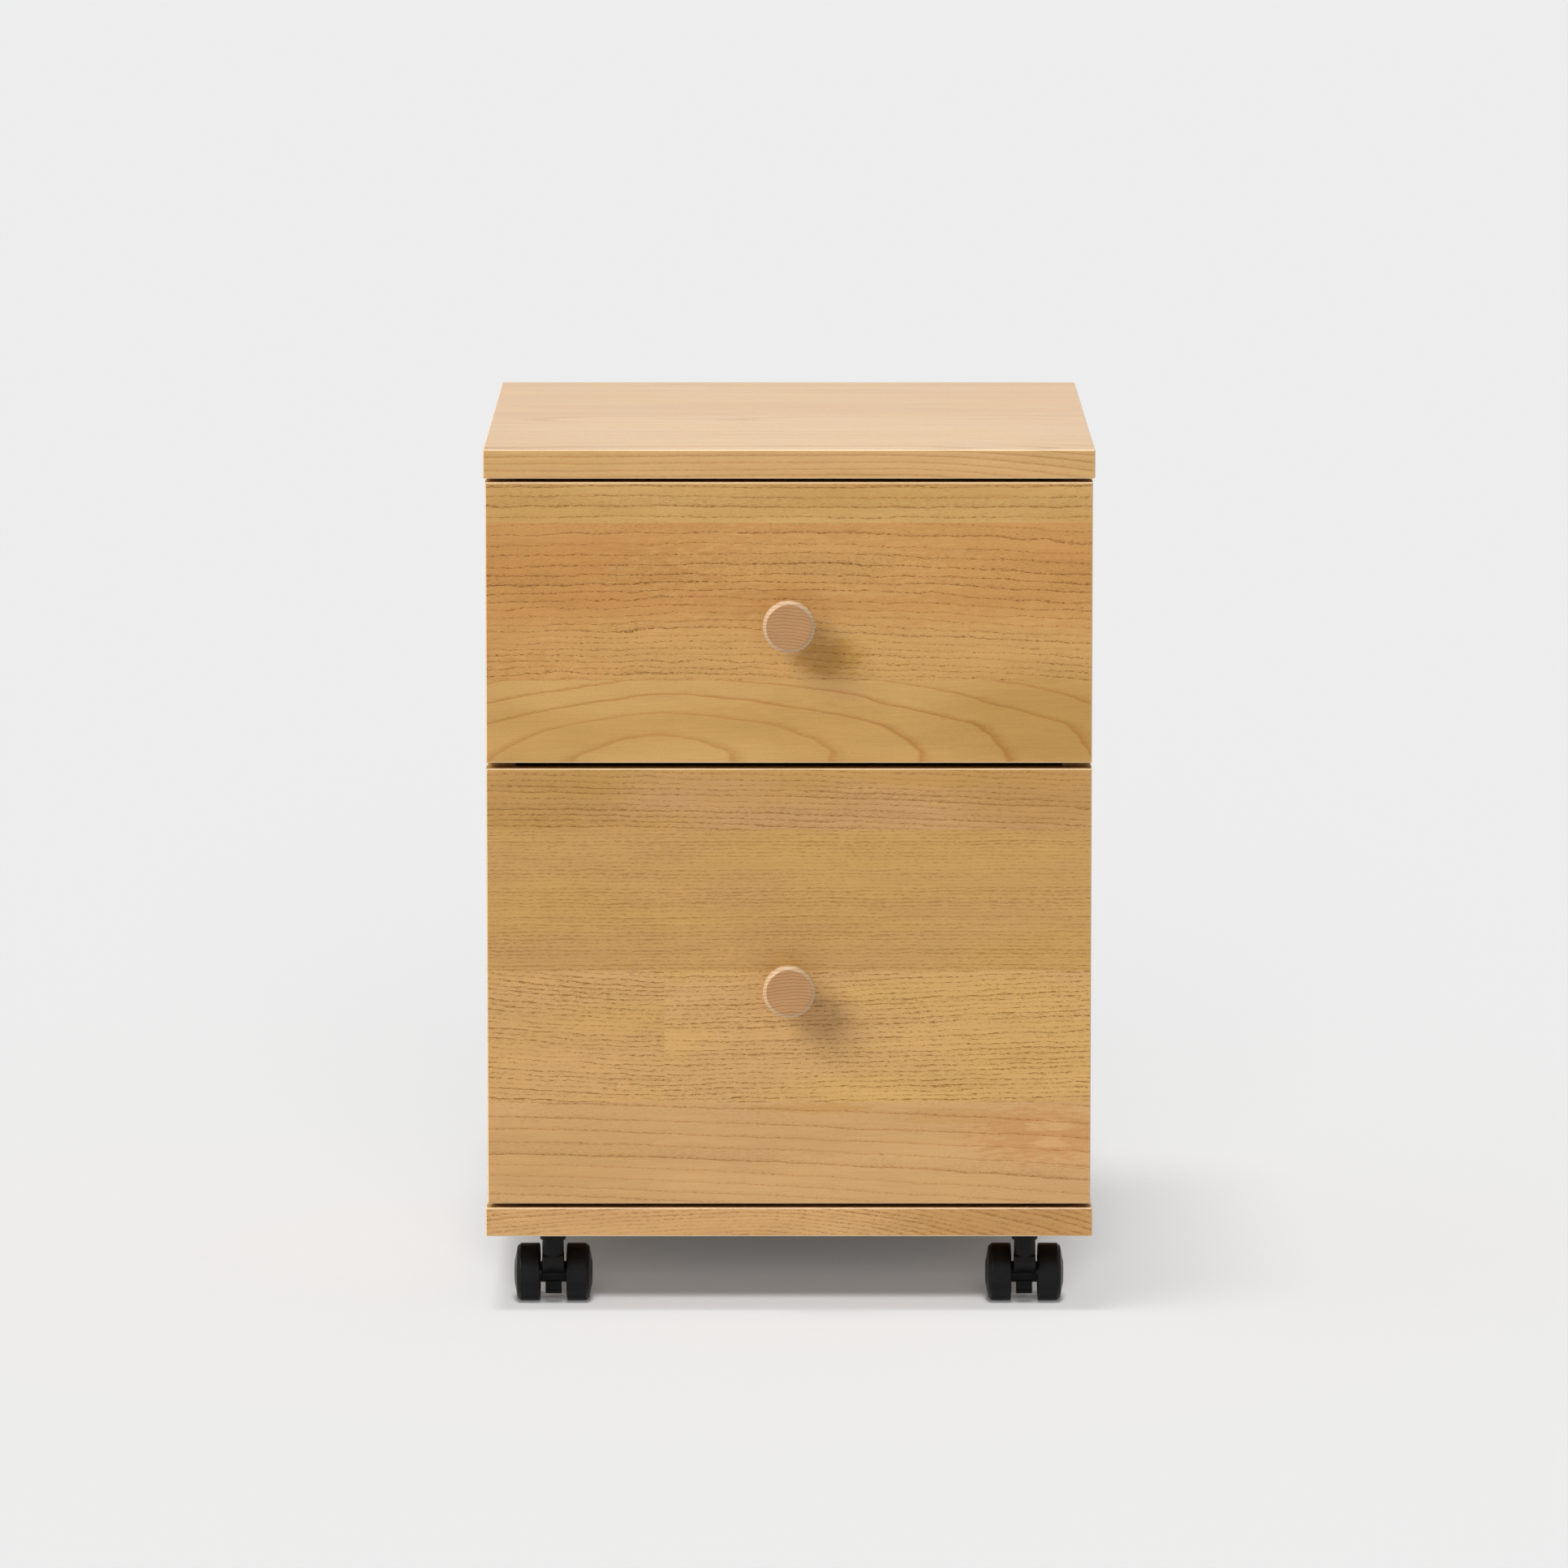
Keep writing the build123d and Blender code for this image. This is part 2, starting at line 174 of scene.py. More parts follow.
def noise(point, blot, seed, detail=1.0, roughness=0.5):
    """Smooth noise about 0.5, whose blots are as long as blot says along each axis, in millimetres."""
    stretched = vector_math("DIVIDE", point, blot)
    made = point.tree.nodes.new("ShaderNodeTexNoise")
    give(made.inputs["Vector"], vector_math("ADD", stretched, seed))
    made.inputs["Scale"].default_value = 1.0
    made.inputs["Detail"].default_value = detail
    made.inputs["Roughness"].default_value = roughness
    return Field(made.outputs[0])


def linear(red, green, blue):
    """A colour as the eye reads it, from 0 to 255, turned into the numbers that a shader takes."""
    def channel(value):
        share = value / 255
        return share / 12.92 if share <= 0.04045 else ((share + 0.055) / 1.055) ** 2.4
    return (channel(red), channel(green), channel(blue), 1.0)


def new_material(name):
    """A material with its shader and its place on the object, in millimetres."""
    material = bpy.data.materials.new(name)
    material.use_nodes = True
    tree = material.node_tree
    shader = next(node for node in tree.nodes if node.type == "BSDF_PRINCIPLED")
    at = vector_math("MULTIPLY", coordinate(tree, "Object"), (MM_PER_METRE, MM_PER_METRE, MM_PER_METRE))
    return material, shader, at


def bump(shader, height, distance):
    """Let a height from 0 to 1, over a distance in metres, roughen the surface."""
    made = shader.id_data.nodes.new("ShaderNodeBump")
    made.inputs["Distance"].default_value = distance
    give(made.inputs["Height"], height)
    give(shader.inputs["Normal"], Field(made.outputs[0]))


def dress(material, *names):
    for name in names:
        mesh = nodes[name].data
        mesh.materials.clear()
        mesh.materials.append(material)


# Wood: boards sawn from trees with round growth rings, glued side by side

# Colours are as the eye reads them, from 0 to 255. The sawn ends' and the rings' multiply the wood's own
PORE_TONE = (126, 88, 36)
SAWN_END_TONE = (237, 217, 200)
RING_TONE = (232, 204, 172)
# Painted highlight along the rounded edges of the boards
EDGE_HIGHLIGHT_TONE = (246, 226, 192)

LACQUER_GLEAM = 0.012
LACQUER_SPECULAR = 0.32
PORE_COVER = 0.75
PORE_DEPTH = 0.06 * MM

# A board's seeds, times this many millimetres, are the place in the noise that it is cut from
BOARD_SHIFT = 20

# Deeper than any board is thick, in millimetres
THROUGH = 1000

# The rings close along the grain with this power of the distance, scaled to be the distance itself at 100 mm
TIP_POWER = 0.75
TIP_SCALE = 3.16

# How far rings stray for each unit of wander, in millimetres: in broad waves, and in short ripples
STRAY_REACH = 6
RIPPLE_REACH = 4


def board(start, heart, rings, tone, warm, after=-1e4, bends=(0.0, 0.0), lean=0.0, spread=0.0, wander=1.3,
          pores=1.0, lines=0.5, band=1.0):
    """One board of a panel, with its lengths in millimetres.

    start    where the board begins across the grain
    after    where it begins along the grain
    heart    the point that its rings close round: along and across the grain, and below the face
    bends    how fast the rings close along the grain, to the low side and the high side of the heart
    lean     how far the tips of the rings move along the grain with each millimetre across it
    rings    the distance between rings at the heart, and spread is how much it grows with each millimetre
    wander   how far the rings stray
    tone     its colour, and warm is the colour of its blotches
    pores    how dark its pores are
    lines    how much its colour deepens along each ring
    band     how wide that deepening is, as a share of the usual width
    """
    return dict(start=start, after=after, heart=heart, rings=rings, tone=tone, warm=warm,
                bend_low=bends[0], bend_high=bends[1], lean=lean, spread=spread, wander=wander,
                pores=pores, lines=lines, band=band)


def mark(at, size, tone, strength, depth=THROUGH, ragged=2.2):
    """A soft-edged patch on a panel, with its lengths in millimetres.

    at and size are its middle and its half sizes, along and across the grain, and depth is how deep it goes.
    ragged is how far its edge strays, as a share of its size.
    """
    return dict(at=at, size=(*size, depth), tone=tone, strength=strength, ragged=ragged)


class Boards:
    """The boards of a panel, whose values are chosen by the place on it."""

    def __init__(self, boards, along, across):
        self.boards = boards
        self.masks = [across.above(one["start"]) * along.above(one["after"]) for one in boards[1:]]

    def value(self, value_of, kind="VECTOR"):
        """The value of the board that holds each place, where value_of tells it of a board."""
        chosen = value_of(self.boards[0])
        for mask, one in zip(self.masks, self.boards[1:]):
            chosen = blend(mask, chosen, value_of(one), kind)
        return chosen

    def numbers(self, *names):
        """Three named numbers of the board that holds each place."""
        return parts(self.value(lambda one: tuple(one[name] for name in names)))

    def colour(self, name):
        return self.value(lambda one: under_lacquer(one[name]), "RGBA")


def under_lacquer(tone):
    """A wood's colour, less the white gleam that its lacquer adds."""
    return (*(max(channel - LACQUER_GLEAM, 0) for channel in linear(*tone)[:3]), 1.0)


def seed_maker(seed):
    """A function that gives another place to take noise from at each call, and the same ones on each run."""
    draw = random.Random(seed)
    return lambda: tuple(draw.uniform(-50, 50) for _ in "XYZ")


def growth_rings(grain, local, shift, planks, seeds):
    """Rings round each board's heart, which stray from true rounds with the noise.

    Gives how far a place lies past the start of its ring and ahead of the next one, in millimetres, and the
    ring's luck: a number from 0 to 1 of its own.
    """
    tree = grain.tree
    bend_low, bend_high, lean = planks.numbers("bend_low", "bend_high", "lean")
    ring, spread, wander = planks.numbers("rings", "spread", "wander")
    along, across, below = parts(vector_math("SUBTRACT", grain, planks.value(lambda one: one["heart"])))
    past_tip = along - across * lean
    bend = blend(past_tip.above(0), bend_low, bend_high)
    closing = past_tip.math("ABSOLUTE").power(TIP_POWER) * TIP_SCALE * bend
    stray = (noise(local, (130, 60, 60), seeds()) - 0.5) * wander * STRAY_REACH
    ripple = (noise(local, (24, 8, 8), seeds(), detail=2) - 0.5) * (wander + 0.1) * RIPPLE_REACH
    radius = length(triple(tree, closing, across + stray + ripple, below))
    growth = spread.most(0.001)
    phase = (radius * growth / ring + 1).math("LOGARITHM", math.e) / growth
    phase = phase + (noise(local, (400, 14, 14), seeds()) - 0.5) * (wander * 0.4 + 0.2)
    width = ring + radius * growth
    past = phase.fraction() * width
    ahead = width - past
    tally = tree.nodes.new("ShaderNodeTexWhiteNoise")
    give(tally.inputs["Vector"], triple(tree, phase.whole(), shift, shift))
    return past, ahead, Field(tally.outputs["Value"])


def open_pores(local, row, luck, fine, seeds):
    """How open the pores are, from 0 to 1: dashes along the grain, most of them in each ring's row.

    The specks that they are made of come with them.
    """
    patch = noise(local, (90, 20, 20), seeds())
    dashes = noise(local, (3.4, 0.5 * fine, 0.5 * fine), seeds(), detail=1)
    specks = noise(local, (1.2, 0.4 * fine, 0.4 * fine), seeds(), detail=0)
    chance = dashes * 0.66 + specks * 0.34 + row * 0.08 + (patch - 0.5) * 0.17 + (luck - 0.5) * 0.1
    return chance.rise(0.57, 0.68) * row.rise(0, 1, 0.5, 1), specks


def lay_mark(one, colour, grain, local, seed):
    """Blend a mark's tone into a colour."""
    offset = vector_math("SUBTRACT", grain, (*one["at"], 0))
    spot = vector_math("DIVIDE", offset, one["size"])
    ragged = noise(local, (10, 2.5, 2.5), seed, detail=2) - 0.5
    distance = length(spot) + ragged * one["ragged"]
    return blend(distance.rise(0.4, 1.25, one["strength"], 0), colour, under_lacquer(one["tone"]), "RGBA")


def wood(name, axes, boards, seed, face=0, inward=1, finish=0.42, coat=0.12, gloss=0.3, pore_tone=PORE_TONE,
         end_tone=SAWN_END_TONE, ring_tone=RING_TONE, fine=1.0, narrow=0.45, edge_highlight=0.55, marks=()):
    """Wood whose grain runs along the first of the axes, with its boards side by side along the second.

    The third axis meets the panel's face at the place named face, in millimetres, and goes into the wood the
    way inward says.

    finish   its roughness; coat and gloss are the weight and the roughness of its lacquer
    fine     the size of its pores and fibres across the grain, as a share of the usual
    narrow   how dark the pores are on the panel's narrow sides, as a share of those on its faces
    edge_highlight   how pale its rounded edges are: a painted highlight where the edges catch the light
    """
    material, shader, at = new_material(name)
    tree = at.tree
    along_axis, across_axis, into_axis = axes
    by_name = dict(zip("XYZ", parts(at)))
    squareness = {axis: part * part for axis, part in zip("XYZ", parts(coordinate(tree, "Normal")))}
    along, across = by_name[along_axis], by_name[across_axis]
    grain = triple(tree, along, across, (by_name[into_axis] - face) * inward)
    planks = Boards(boards, along, across)
    seeds = seed_maker(seed)
    shift = planks.value(lambda one: seeds())
    local = vector_math("ADD", grain, vector_math("MULTIPLY", shift, (BOARD_SHIFT, BOARD_SHIFT, BOARD_SHIFT)))

    # Each ring opens with a row of pores, and its colour deepens there
    past, ahead, luck = growth_rings(grain, local, shift, planks, seeds)
    darkness, lines, band = planks.numbers("pores", "lines", "band")
    row = past.rise(0.4, 1.5, 1, 0).most(ahead.rise(0.0, 0.3, 1, 0))
    glow = past.rise(0.0, band * (3.2 * fine), 0.5, 0) + past.rise(0.0, band * (1.3 * fine), 0.5, 0)
    glow = glow.most(ahead.rise(0.0, 0.4, 1, 0))
    openness, specks = open_pores(local, row, luck, fine, seeds)
    on_face = squareness[into_axis].rise(0.2, 0.7)
    pore = openness * on_face.rise(0, 1, narrow, 1) * darkness

    # Colour: blotches, marks, fibres, rings, then pores
    blotch = noise(local, (190, 34, 34), seeds(), detail=2).rise(0.36, 0.64)
    colour = blend(blotch, planks.colour("tone"), planks.colour("warm"), "RGBA")
    fibre = noise(local, (22, 0.5 * fine, 0.5 * fine), seeds(), detail=2, roughness=0.6)
    cloud = noise(local, (60, 12, 12), seeds(), detail=2)
    for one in marks:
        colour = lay_mark(one, colour, grain, local, seeds())
    colour = lighten(colour, (fibre - 0.5) * 0.3 + (cloud - 0.5) * 0.16 + (specks - 0.5) * 0.2 + 1)
    colour = multiply_colour(colour, linear(*ring_tone), glow * (luck * 0.5 + 0.5) * lines)
    colour = blend(pore * PORE_COVER, colour, under_lacquer(pore_tone), "RGBA")

    # Sawn ends are a shade deeper, and the rounded edges get a painted highlight that makes them paler
    colour = multiply_colour(colour, linear(*end_tone), squareness[along_axis].rise(0.45, 0.8))
    squarest = squareness["X"].most(squareness["Y"]).most(squareness["Z"])
    on_edge = squarest.rise(0.86, 0.95, 1, 0)
    colour = blend(on_edge * edge_highlight, colour, under_lacquer(EDGE_HIGHLIGHT_TONE), "RGBA")

    give(shader.inputs["Base Color"], colour)
    give(shader.inputs["Roughness"], pore * 0.2 + (cloud - 0.5) * 0.16 + finish)
    shader.inputs["Specular IOR Level"].default_value = LACQUER_SPECULAR
    shader.inputs["Coat Weight"].default_value = coat
    shader.inputs["Coat Roughness"].default_value = gloss
    bump(shader, pore * -1 + fibre * 0.12 + 1, PORE_DEPTH)
    return material


def fronts_wood():
    """The boards of both fronts, from the foot of the lower one up. Those at 147 mm are joined end to end."""
    joined = dict(heart=(-86, 400, 20), rings=3.1, wander=0.9, pores=1.05, lines=0.3)
    return wood("fronts_wood", "XZY", seed=11, face=-236.5, boards=[
        board(70, heart=(-260, -10, 20), bends=(0.0, 0.21), rings=0.5, spread=0.06, wander=0.6, pores=0.8,
              lines=0.55, tone=(203, 160, 108), warm=(198, 155, 103)),
        board(147, bends=(0.45, 0.3), tone=(199, 157, 96), warm=(203, 159, 103), **joined),
        board(147, after=-86, bends=(0.45, 0.25), tone=(202, 159, 104), warm=(205, 163, 100), **joined),
        board(239, heart=(0, 900, 30), rings=1.9, wander=0.6, pores=0.7, lines=0.3,
              tone=(193, 152, 90), warm=(192, 150, 92)),
        board(337, heart=(-208, 187, 20), bends=(0.2, 0.22), rings=3.6, wander=0.8, pores=0.95, lines=0.35,
              tone=(189, 146, 84), warm=(193, 149, 98)),
        board(380, heart=(-100, 383.5, 44.6), bends=(0.335, 0.294), lean=0.5, rings=8.1, wander=0.6,
              pores=0.35, lines=0.95, band=0.5, tone=(198, 156, 94), warm=(190, 147, 84)),
        board(440.7, heart=(-60, 380, 20), bends=(0.12, 0.2), rings=0.6, spread=0.042, wander=1.2, pores=1.25,
              lines=0.4, tone=(190, 138, 79), warm=(194, 144, 84)),
        board(549.5, heart=(0, 250, 40), bends=(0.03, 0.03), rings=6.5, wander=0.7,
              tone=(194, 151, 90), warm=(199, 158, 98)),
    ], marks=[
        mark(at=(60, 456), size=(300, 36), tone=(199, 156, 96), strength=0.85, ragged=1.2),
        mark(at=(10, 520), size=(110, 26), tone=(200, 156, 96), strength=0.6, ragged=3.0),
        # Painted shadow of the upper knob, below it and to its right
        mark(at=(28, 457), size=(24, 15), tone=(184, 134, 54), strength=0.7),
        mark(at=(175, 410), size=(90, 40), tone=(180, 138, 76), strength=0.9, ragged=0.3),
        mark(at=(-175, 358), size=(80, 24), tone=(180, 138, 76), strength=0.7, ragged=0.7),
        mark(at=(175, 358), size=(70, 24), tone=(181, 138, 79), strength=0.7, ragged=0.7),
        mark(at=(176, 124), size=(50, 21), tone=(192, 141, 87), strength=0.8),
        mark(at=(182, 131), size=(17, 4), tone=(211, 168, 115), strength=0.7),
        mark(at=(180, 119), size=(16, 4), tone=(209, 166, 112), strength=0.6),
        mark(at=(110, 137), size=(40, 7), tone=(192, 146, 88), strength=0.6),
        mark(at=(20, 143), size=(45, 4), tone=(192, 146, 84), strength=0.7),
        mark(at=(-165, 108), size=(85, 36), tone=(193, 151, 98), strength=0.8, ragged=0.5),
    ])


def top_wood():
    return wood("top_wood", "XYZ", seed=23, face=600, inward=-1, finish=0.38, coat=0.4, narrow=1.0, boards=[
        board(-300, heart=(80, -225, 70), bends=(0.06, 0.3), rings=4.4, wander=1.2, pores=0.4, lines=0.6,
              tone=(201, 160, 100), warm=(206, 163, 108)),
        board(-100, heart=(150, -20, 50), bends=(0.16, 0.1), rings=7.0, pores=0.4,
              tone=(203, 160, 106), warm=(209, 167, 112)),
        board(64, heart=(0, -300, 60), rings=8.0, pores=0.4,
              tone=(208, 167, 110), warm=(204, 160, 104)),
        board(190, heart=(-200, 310, 80), bends=(0.1, 0.1), rings=6.0, pores=0.4,
              tone=(204, 161, 104), warm=(207, 166, 112)),
    ], marks=[
        # Painted sheen: the top face is paler towards the front, standing in for the white surroundings that
        # its lacquer reflects. It reaches only 1.5 mm into the board, so the front edge below keeps its own
        # colour
        mark(at=(10, -130), size=(260, 150), tone=(217, 178, 125), strength=0.75, depth=1.5, ragged=0.4),
    ])


def bottom_wood():
    return wood("bottom_wood", "XYZ", seed=37, face=73, inward=-1, narrow=0.8, boards=[
        board(-300, heart=(-20, -215, 60), bends=(0.22, 0.36), rings=2.4, wander=1.0,
              tone=(205, 162, 109), warm=(196, 152, 98)),
        board(-90, heart=(0, 300, 40), rings=6.0, tone=(200, 157, 98), warm=(204, 161, 104)),
        board(60, heart=(0, 300, 70), rings=5.0, tone=(196, 152, 94), warm=(202, 158, 104)),
    ], marks=[
        mark(at=(150, -240), size=(90, 60), tone=(184, 140, 85), strength=0.8, ragged=0.4),
        mark(at=(-150, -240), size=(90, 60), tone=(206, 164, 112), strength=0.6, ragged=0.4),
    ])


def side_wood(side, face, inward, seed):
    return wood(f"{side}_side_wood", "ZYX", seed=seed, face=face, inward=inward, boards=[
        board(-300, heart=(200, -250, 60), bends=(0.05, 0.05), rings=4.4,
              tone=(199, 157, 97), warm=(202, 158, 104)),
        board(-120, heart=(340, -62, 12), bends=(0.10, 0.16), rings=9.0, pores=0.7,
              tone=(196, 152, 92), warm=(200, 158, 98)),
        board(0, heart=(200, 400, 40), rings=4.6, wander=1.2,
              tone=(202, 160, 102), warm=(198, 155, 97)),
        board(140, heart=(100, 290, 55), bends=(0.12, 0.1), rings=6.0,
              tone=(197, 154, 94), warm=(201, 159, 103)),
    ])


def back_wood():
    return wood("back_wood", "ZXY", seed=43, face=253.5, inward=-1, boards=[
        board(-300, heart=(200, -130, 12), bends=(0.12, 0.1), rings=8.0, pores=0.7,
              tone=(200, 158, 100), warm=(204, 162, 106)),
        board(-65, heart=(380, 0, 10), bends=(0.1, 0.12), rings=9.0, pores=0.7,
              tone=(202, 160, 103), warm=(198, 155, 97)),
        board(65, heart=(250, 132, 12), bends=(0.1, 0.1), rings=8.0, pores=0.7,
              tone=(200, 157, 99), warm=(204, 162, 106)),
    ])


def box_wood(name, axes, seed, heart_depth):
    """Pale wood of the drawer boxes: a low board up to 240 mm, and a high one from there."""
    return wood(name, axes, seed=seed, finish=0.55, boards=[
        board(0, heart=(0, -200, heart_depth), bends=(0.1, 0.1), rings=5.0, wander=1.9, pores=0.5,
              tone=(217, 186, 138), warm=(222, 192, 146)),
        board(240, heart=(0, 900, heart_depth), rings=6.0, wander=1.9, pores=0.5,
              tone=(219, 188, 141), warm=(214, 183, 136)),
    ])


def plywood():
    return wood("plywood", "YXZ", seed=61, finish=0.6, boards=[
        board(-300, heart=(0, -40, 60), bends=(0.12, 0.12), rings=9.0, wander=3.6, pores=0.4,
              tone=(214, 180, 132), warm=(219, 188, 142)),
        board(55, heart=(60, 130, 50), bends=(0.1, 0.12), rings=8.0, wander=3.2, pores=0.4,
              tone=(216, 183, 136), warm=(212, 178, 130)),
    ])


def knob_wood():
    """One board for the lower knob, and one from 350 mm up for the upper knob."""
    turned = dict(rings=2.2, wander=0.5, pores=0.25, lines=1.0)
    return wood("knob_wood", "YZX", seed=67, finish=0.36, coat=0.5, gloss=0.24, fine=0.6, edge_highlight=0,
                pore_tone=(150, 100, 66), end_tone=(224, 198, 164), ring_tone=(214, 190, 164), boards=[
                    board(0, heart=(0, 140, 4), tone=(209, 180, 143), warm=(204, 174, 136), **turned),
                    board(350, heart=(0, 390, -6), tone=(207, 178, 143), warm=(202, 172, 138), **turned),
                ])


# Plastic and metal

SKIN_DEPTH = 0.03 * MM
STREAK_DEPTH = 0.01 * MM
DUST_TONE = (118, 112, 104)

# Width of a zinc flower, in millimetres
FLOWER = 5


def plastic(name, tone, roughness, specular, dust):
    """Moulded plastic: a fine sandy skin, faint flow clouds, and dust where a hand or the floor rubs it."""
    material, shader, at = new_material(name)
    skin = noise(at, (0.35, 0.35, 0.35), (3, 5, 7), detail=2)
    flow = noise(at, (9, 9, 9), (11, 2, 4), detail=3)
    scuffs = noise(at, (6, 1.2, 1.2), (8, 9, 1), detail=3).rise(0.58, 0.74)
    colour = lighten(linear(*tone), (flow - 0.5) * 0.5 + (skin - 0.5) * 0.3 + 1)
    colour = blend(scuffs * dust, colour, linear(*DUST_TONE), "RGBA")
    give(shader.inputs["Base Color"], colour)
    give(shader.inputs["Roughness"], (flow - 0.5) * 0.2 + scuffs * 0.15 + roughness)
    shader.inputs["Specular IOR Level"].default_value = specular
    bump(shader, skin, SKIN_DEPTH)
    return material


def metal(name, tone, roughness, streak, spangle=0.0):
    """Metal with rolling streaks as long as streak says along each axis, in millimetres.

    spangle is how much its zinc flowers show.
    """
    material, shader, at = new_material(name)
    streaks = noise(at, streak, (4, 6, 1), detail=3, roughness=0.6)
    stains = noise(at, (14, 14, 14), (2, 8, 5), detail=3)
    flowers = at.tree.nodes.new("ShaderNodeTexVoronoi")
    flowers.inputs["Scale"].default_value = 1.0
    give(flowers.inputs["Vector"], vector_math("DIVIDE", at, (FLOWER, FLOWER, FLOWER)))
    flower = parts(Field(flowers.outputs["Color"]))[0] - 0.5
    colour = lighten(linear(*tone), (streaks - 0.5) * 0.24 + (stains - 0.5) * 0.2 + flower * spangle + 1)
    give(shader.inputs["Base Color"], colour)
    give(shader.inputs["Roughness"],
         (streaks - 0.5) * 0.3 + (stains - 0.5) * 0.2 + flower * spangle + roughness)
    shader.inputs["Metallic"].default_value = 1.0
    bump(shader, streaks, STREAK_DEPTH)
    return material


# Turned and gathered pieces

ROUND_FACETS = 128

# Edges sharper than this many degrees stay sharp
SHARP_ABOVE = 35


def rounded(outline, steps=5):
    """Points of an outline whose corners, each given with its radius, are turned into arcs."""
    smooth = []
    for number, (x, y, radius) in enumerate(outline):
        corner = Vector((x, y))
        if radius == 0:
            smooth.append(corner)
            continue
        before = (Vector(outline[number - 1][:2]) - corner).normalized()
        after = (Vector(outline[number + 1][:2]) - corner).normalized()
        half = before.angle(after) / 2
        reach = radius / math.tan(half)
        centre = corner + (before + after).normalized() * radius / math.sin(half)
        start = corner + before * reach - centre
        end = corner + after * reach - centre
        for step in range(steps + 1):
            smooth.append(centre + start.slerp(end, step / steps).normalized() * radius)
    return smooth


def standing(centre, toward):
    """The matrix that stands a form drawn along Z on a centre, and lets it point toward a direction."""
    turn = Vector((0, 0, 1)).rotation_difference(Vector(toward)).to_matrix().to_4x4()
    return Matrix.Translation(centre) @ turn


def add_turned(form, outline, centre, toward, facets):
    """Turn an outline of points along and out from an axis, in millimetres, into faces of the form."""
    place = standing(centre, toward)
    rings = []
    for along, out in outline:
        ring = []
        for number in range(facets if out > 0 else 1):
            # One step back, so that a screw's rim lies beside the corners of its cross
            angle = math.tau * (number - 1) / facets
            spot = Vector((out * math.cos(angle), out * math.sin(angle), along))
            ring.append(form.verts.new(place @ (spot * MM)))
        rings.append(ring)
    for ring, following in zip(rings, rings[1:]):
        for number in range(facets):
            corners = (ring[number % len(ring)], ring[(number + 1) % len(ring)],
                       following[(number + 1) % len(following)], following[number % len(following)])
            form.faces.new(list(dict.fromkeys(corners)))
    return rings


def add_piece(name, form, material, body, slot, *replaced):
    """Make an object of the form, and let it ride on a body."""
    bmesh.ops.recalc_face_normals(form, faces=form.faces)
    mesh = bpy.data.meshes.new(name)
    form.to_mesh(mesh)
    form.free()
    mesh.shade_smooth()
    mesh.set_sharp_from_angle(angle=math.radians(SHARP_ABOVE))
    mesh.materials.append(material)
    made = bpy.data.objects.new(name, mesh)
    bpy.context.scene.collection.objects.link(made)
    weighted = made.modifiers.new("weighted_normals", "WEIGHTED_NORMAL")
    weighted.keep_sharp = True
    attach(made, body)
    if replaced:
        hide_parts(*replaced)
    return made


# Reach, radius and rounding of each corner, from the drawer front outwards
KNOB_OUTLINE = [(0, 0, 0), (0, 8, 0), (8, 8, 4), (18, 18, 2), (24.5, 18, 0.9), (27, 15.5, 0.9), (27, 0, 0)]


def turn_knob(drawer, material):
    low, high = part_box(f"{drawer}_knob")
    seat = Vector((0, high.y, (low.z + high.z) / 2))
    form = bmesh.new()
    add_turned(form, rounded(KNOB_OUTLINE), seat, (0, -1, 0), ROUND_FACETS)
    add_piece(f"{drawer}_turned_knob", form, material, f"{drawer}_drawer", "knob_wood", f"{drawer}_knob")


# Depth from the inner face, radius and rounding of each corner of a caster's wheel
WHEEL_OUTLINE = [(0, 0, 0), (0, 9, 0.4), (6, 9.6, 1), (6, 16.6, 1), (0, 17.4, 0.3), (0, 20, 1.3),
                 (13.4, 20, 1.6), (15.9, 18, 1.4), (17.1, 11.6, 0.2), (16.7, 11.4, 0), (16.7, 11, 0),
                 (17.15, 10.8, 0.2), (17.9, 7.6, 4), (17.9, 0, 0)]


def turn_wheel(place, side, material):
    low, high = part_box(f"{place}_caster_{side}_wheel")
    inner_x, outwards = (high.x, -1) if side == "left" else (low.x, 1)
    hub = Vector((inner_x, (low.y + high.y) / 2, (low.z + high.z) / 2))
    form = bmesh.new()
    add_turned(form, rounded(WHEEL_OUTLINE), hub, (outwards, 0, 0), ROUND_FACETS)
    return add_piece(f"{place}_caster_{side}_tread", form, material, f"{place}_caster_{side}_roller",
                     "caster_plastic", f"{place}_caster_{side}_wheel")


# Balls of the slides, one in each window of the retainers, with their lengths in millimetres

BALL_RADIUS = 1.75
BALL_PITCH = 44
BALLS_IN_ROW = 4
RETAINER_STRIP = 3
WINDOW_INSETS = {"outer": 4.35, "inner": 3.3}


def add_balls(drawer, race, material):
    low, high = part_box(f"{drawer}_{race}_ball_retainers")
    inset = WINDOW_INSETS[race] * MM
    half_strip = RETAINER_STRIP / 2 * MM
    form = bmesh.new()
    for x in (low.x + inset, high.x - inset):
        for z in (low.z + half_strip, high.z - half_strip):
            for number in range(BALLS_IN_ROW):
                step = (number - (BALLS_IN_ROW - 1) / 2) * BALL_PITCH * MM
                spot = Vector((x, (low.y + high.y) / 2 + step, z))
                bmesh.ops.create_uvsphere(form, u_segments=20, v_segments=12, radius=BALL_RADIUS * MM,
                                          matrix=Matrix.Translation(spot))
    add_piece(f"{drawer}_{race}_balls", form, material, f"{drawer}_{race}_cages", "bright_steel")


# Screws: pan heads with a cross recess, with their lengths in millimetres

SCREW_FACETS = 24

# Heads on a drawer's front: how far out from the middle, above the box's foot and below its rim they sit
FRONT_SCREW = dict(radius=4, height=2.2)
FRONT_SCREW_OUT = 112
FRONT_SCREW_ABOVE = 34
FRONT_SCREW_BELOW = 26

# Heads on a slide: how far they sit behind its front end, before its middle and before its back end
SLIDE_SCREW_RADIUS = 3.2
SLIDE_SCREW_HEIGHTS = {"runner": 1.6, "rail": 0.25}
SLIDE_WEB = 1.2
BEHIND_FRONT_END = 28
BEFORE_MIDDLE = 40
BEFORE_BACK_END = 24


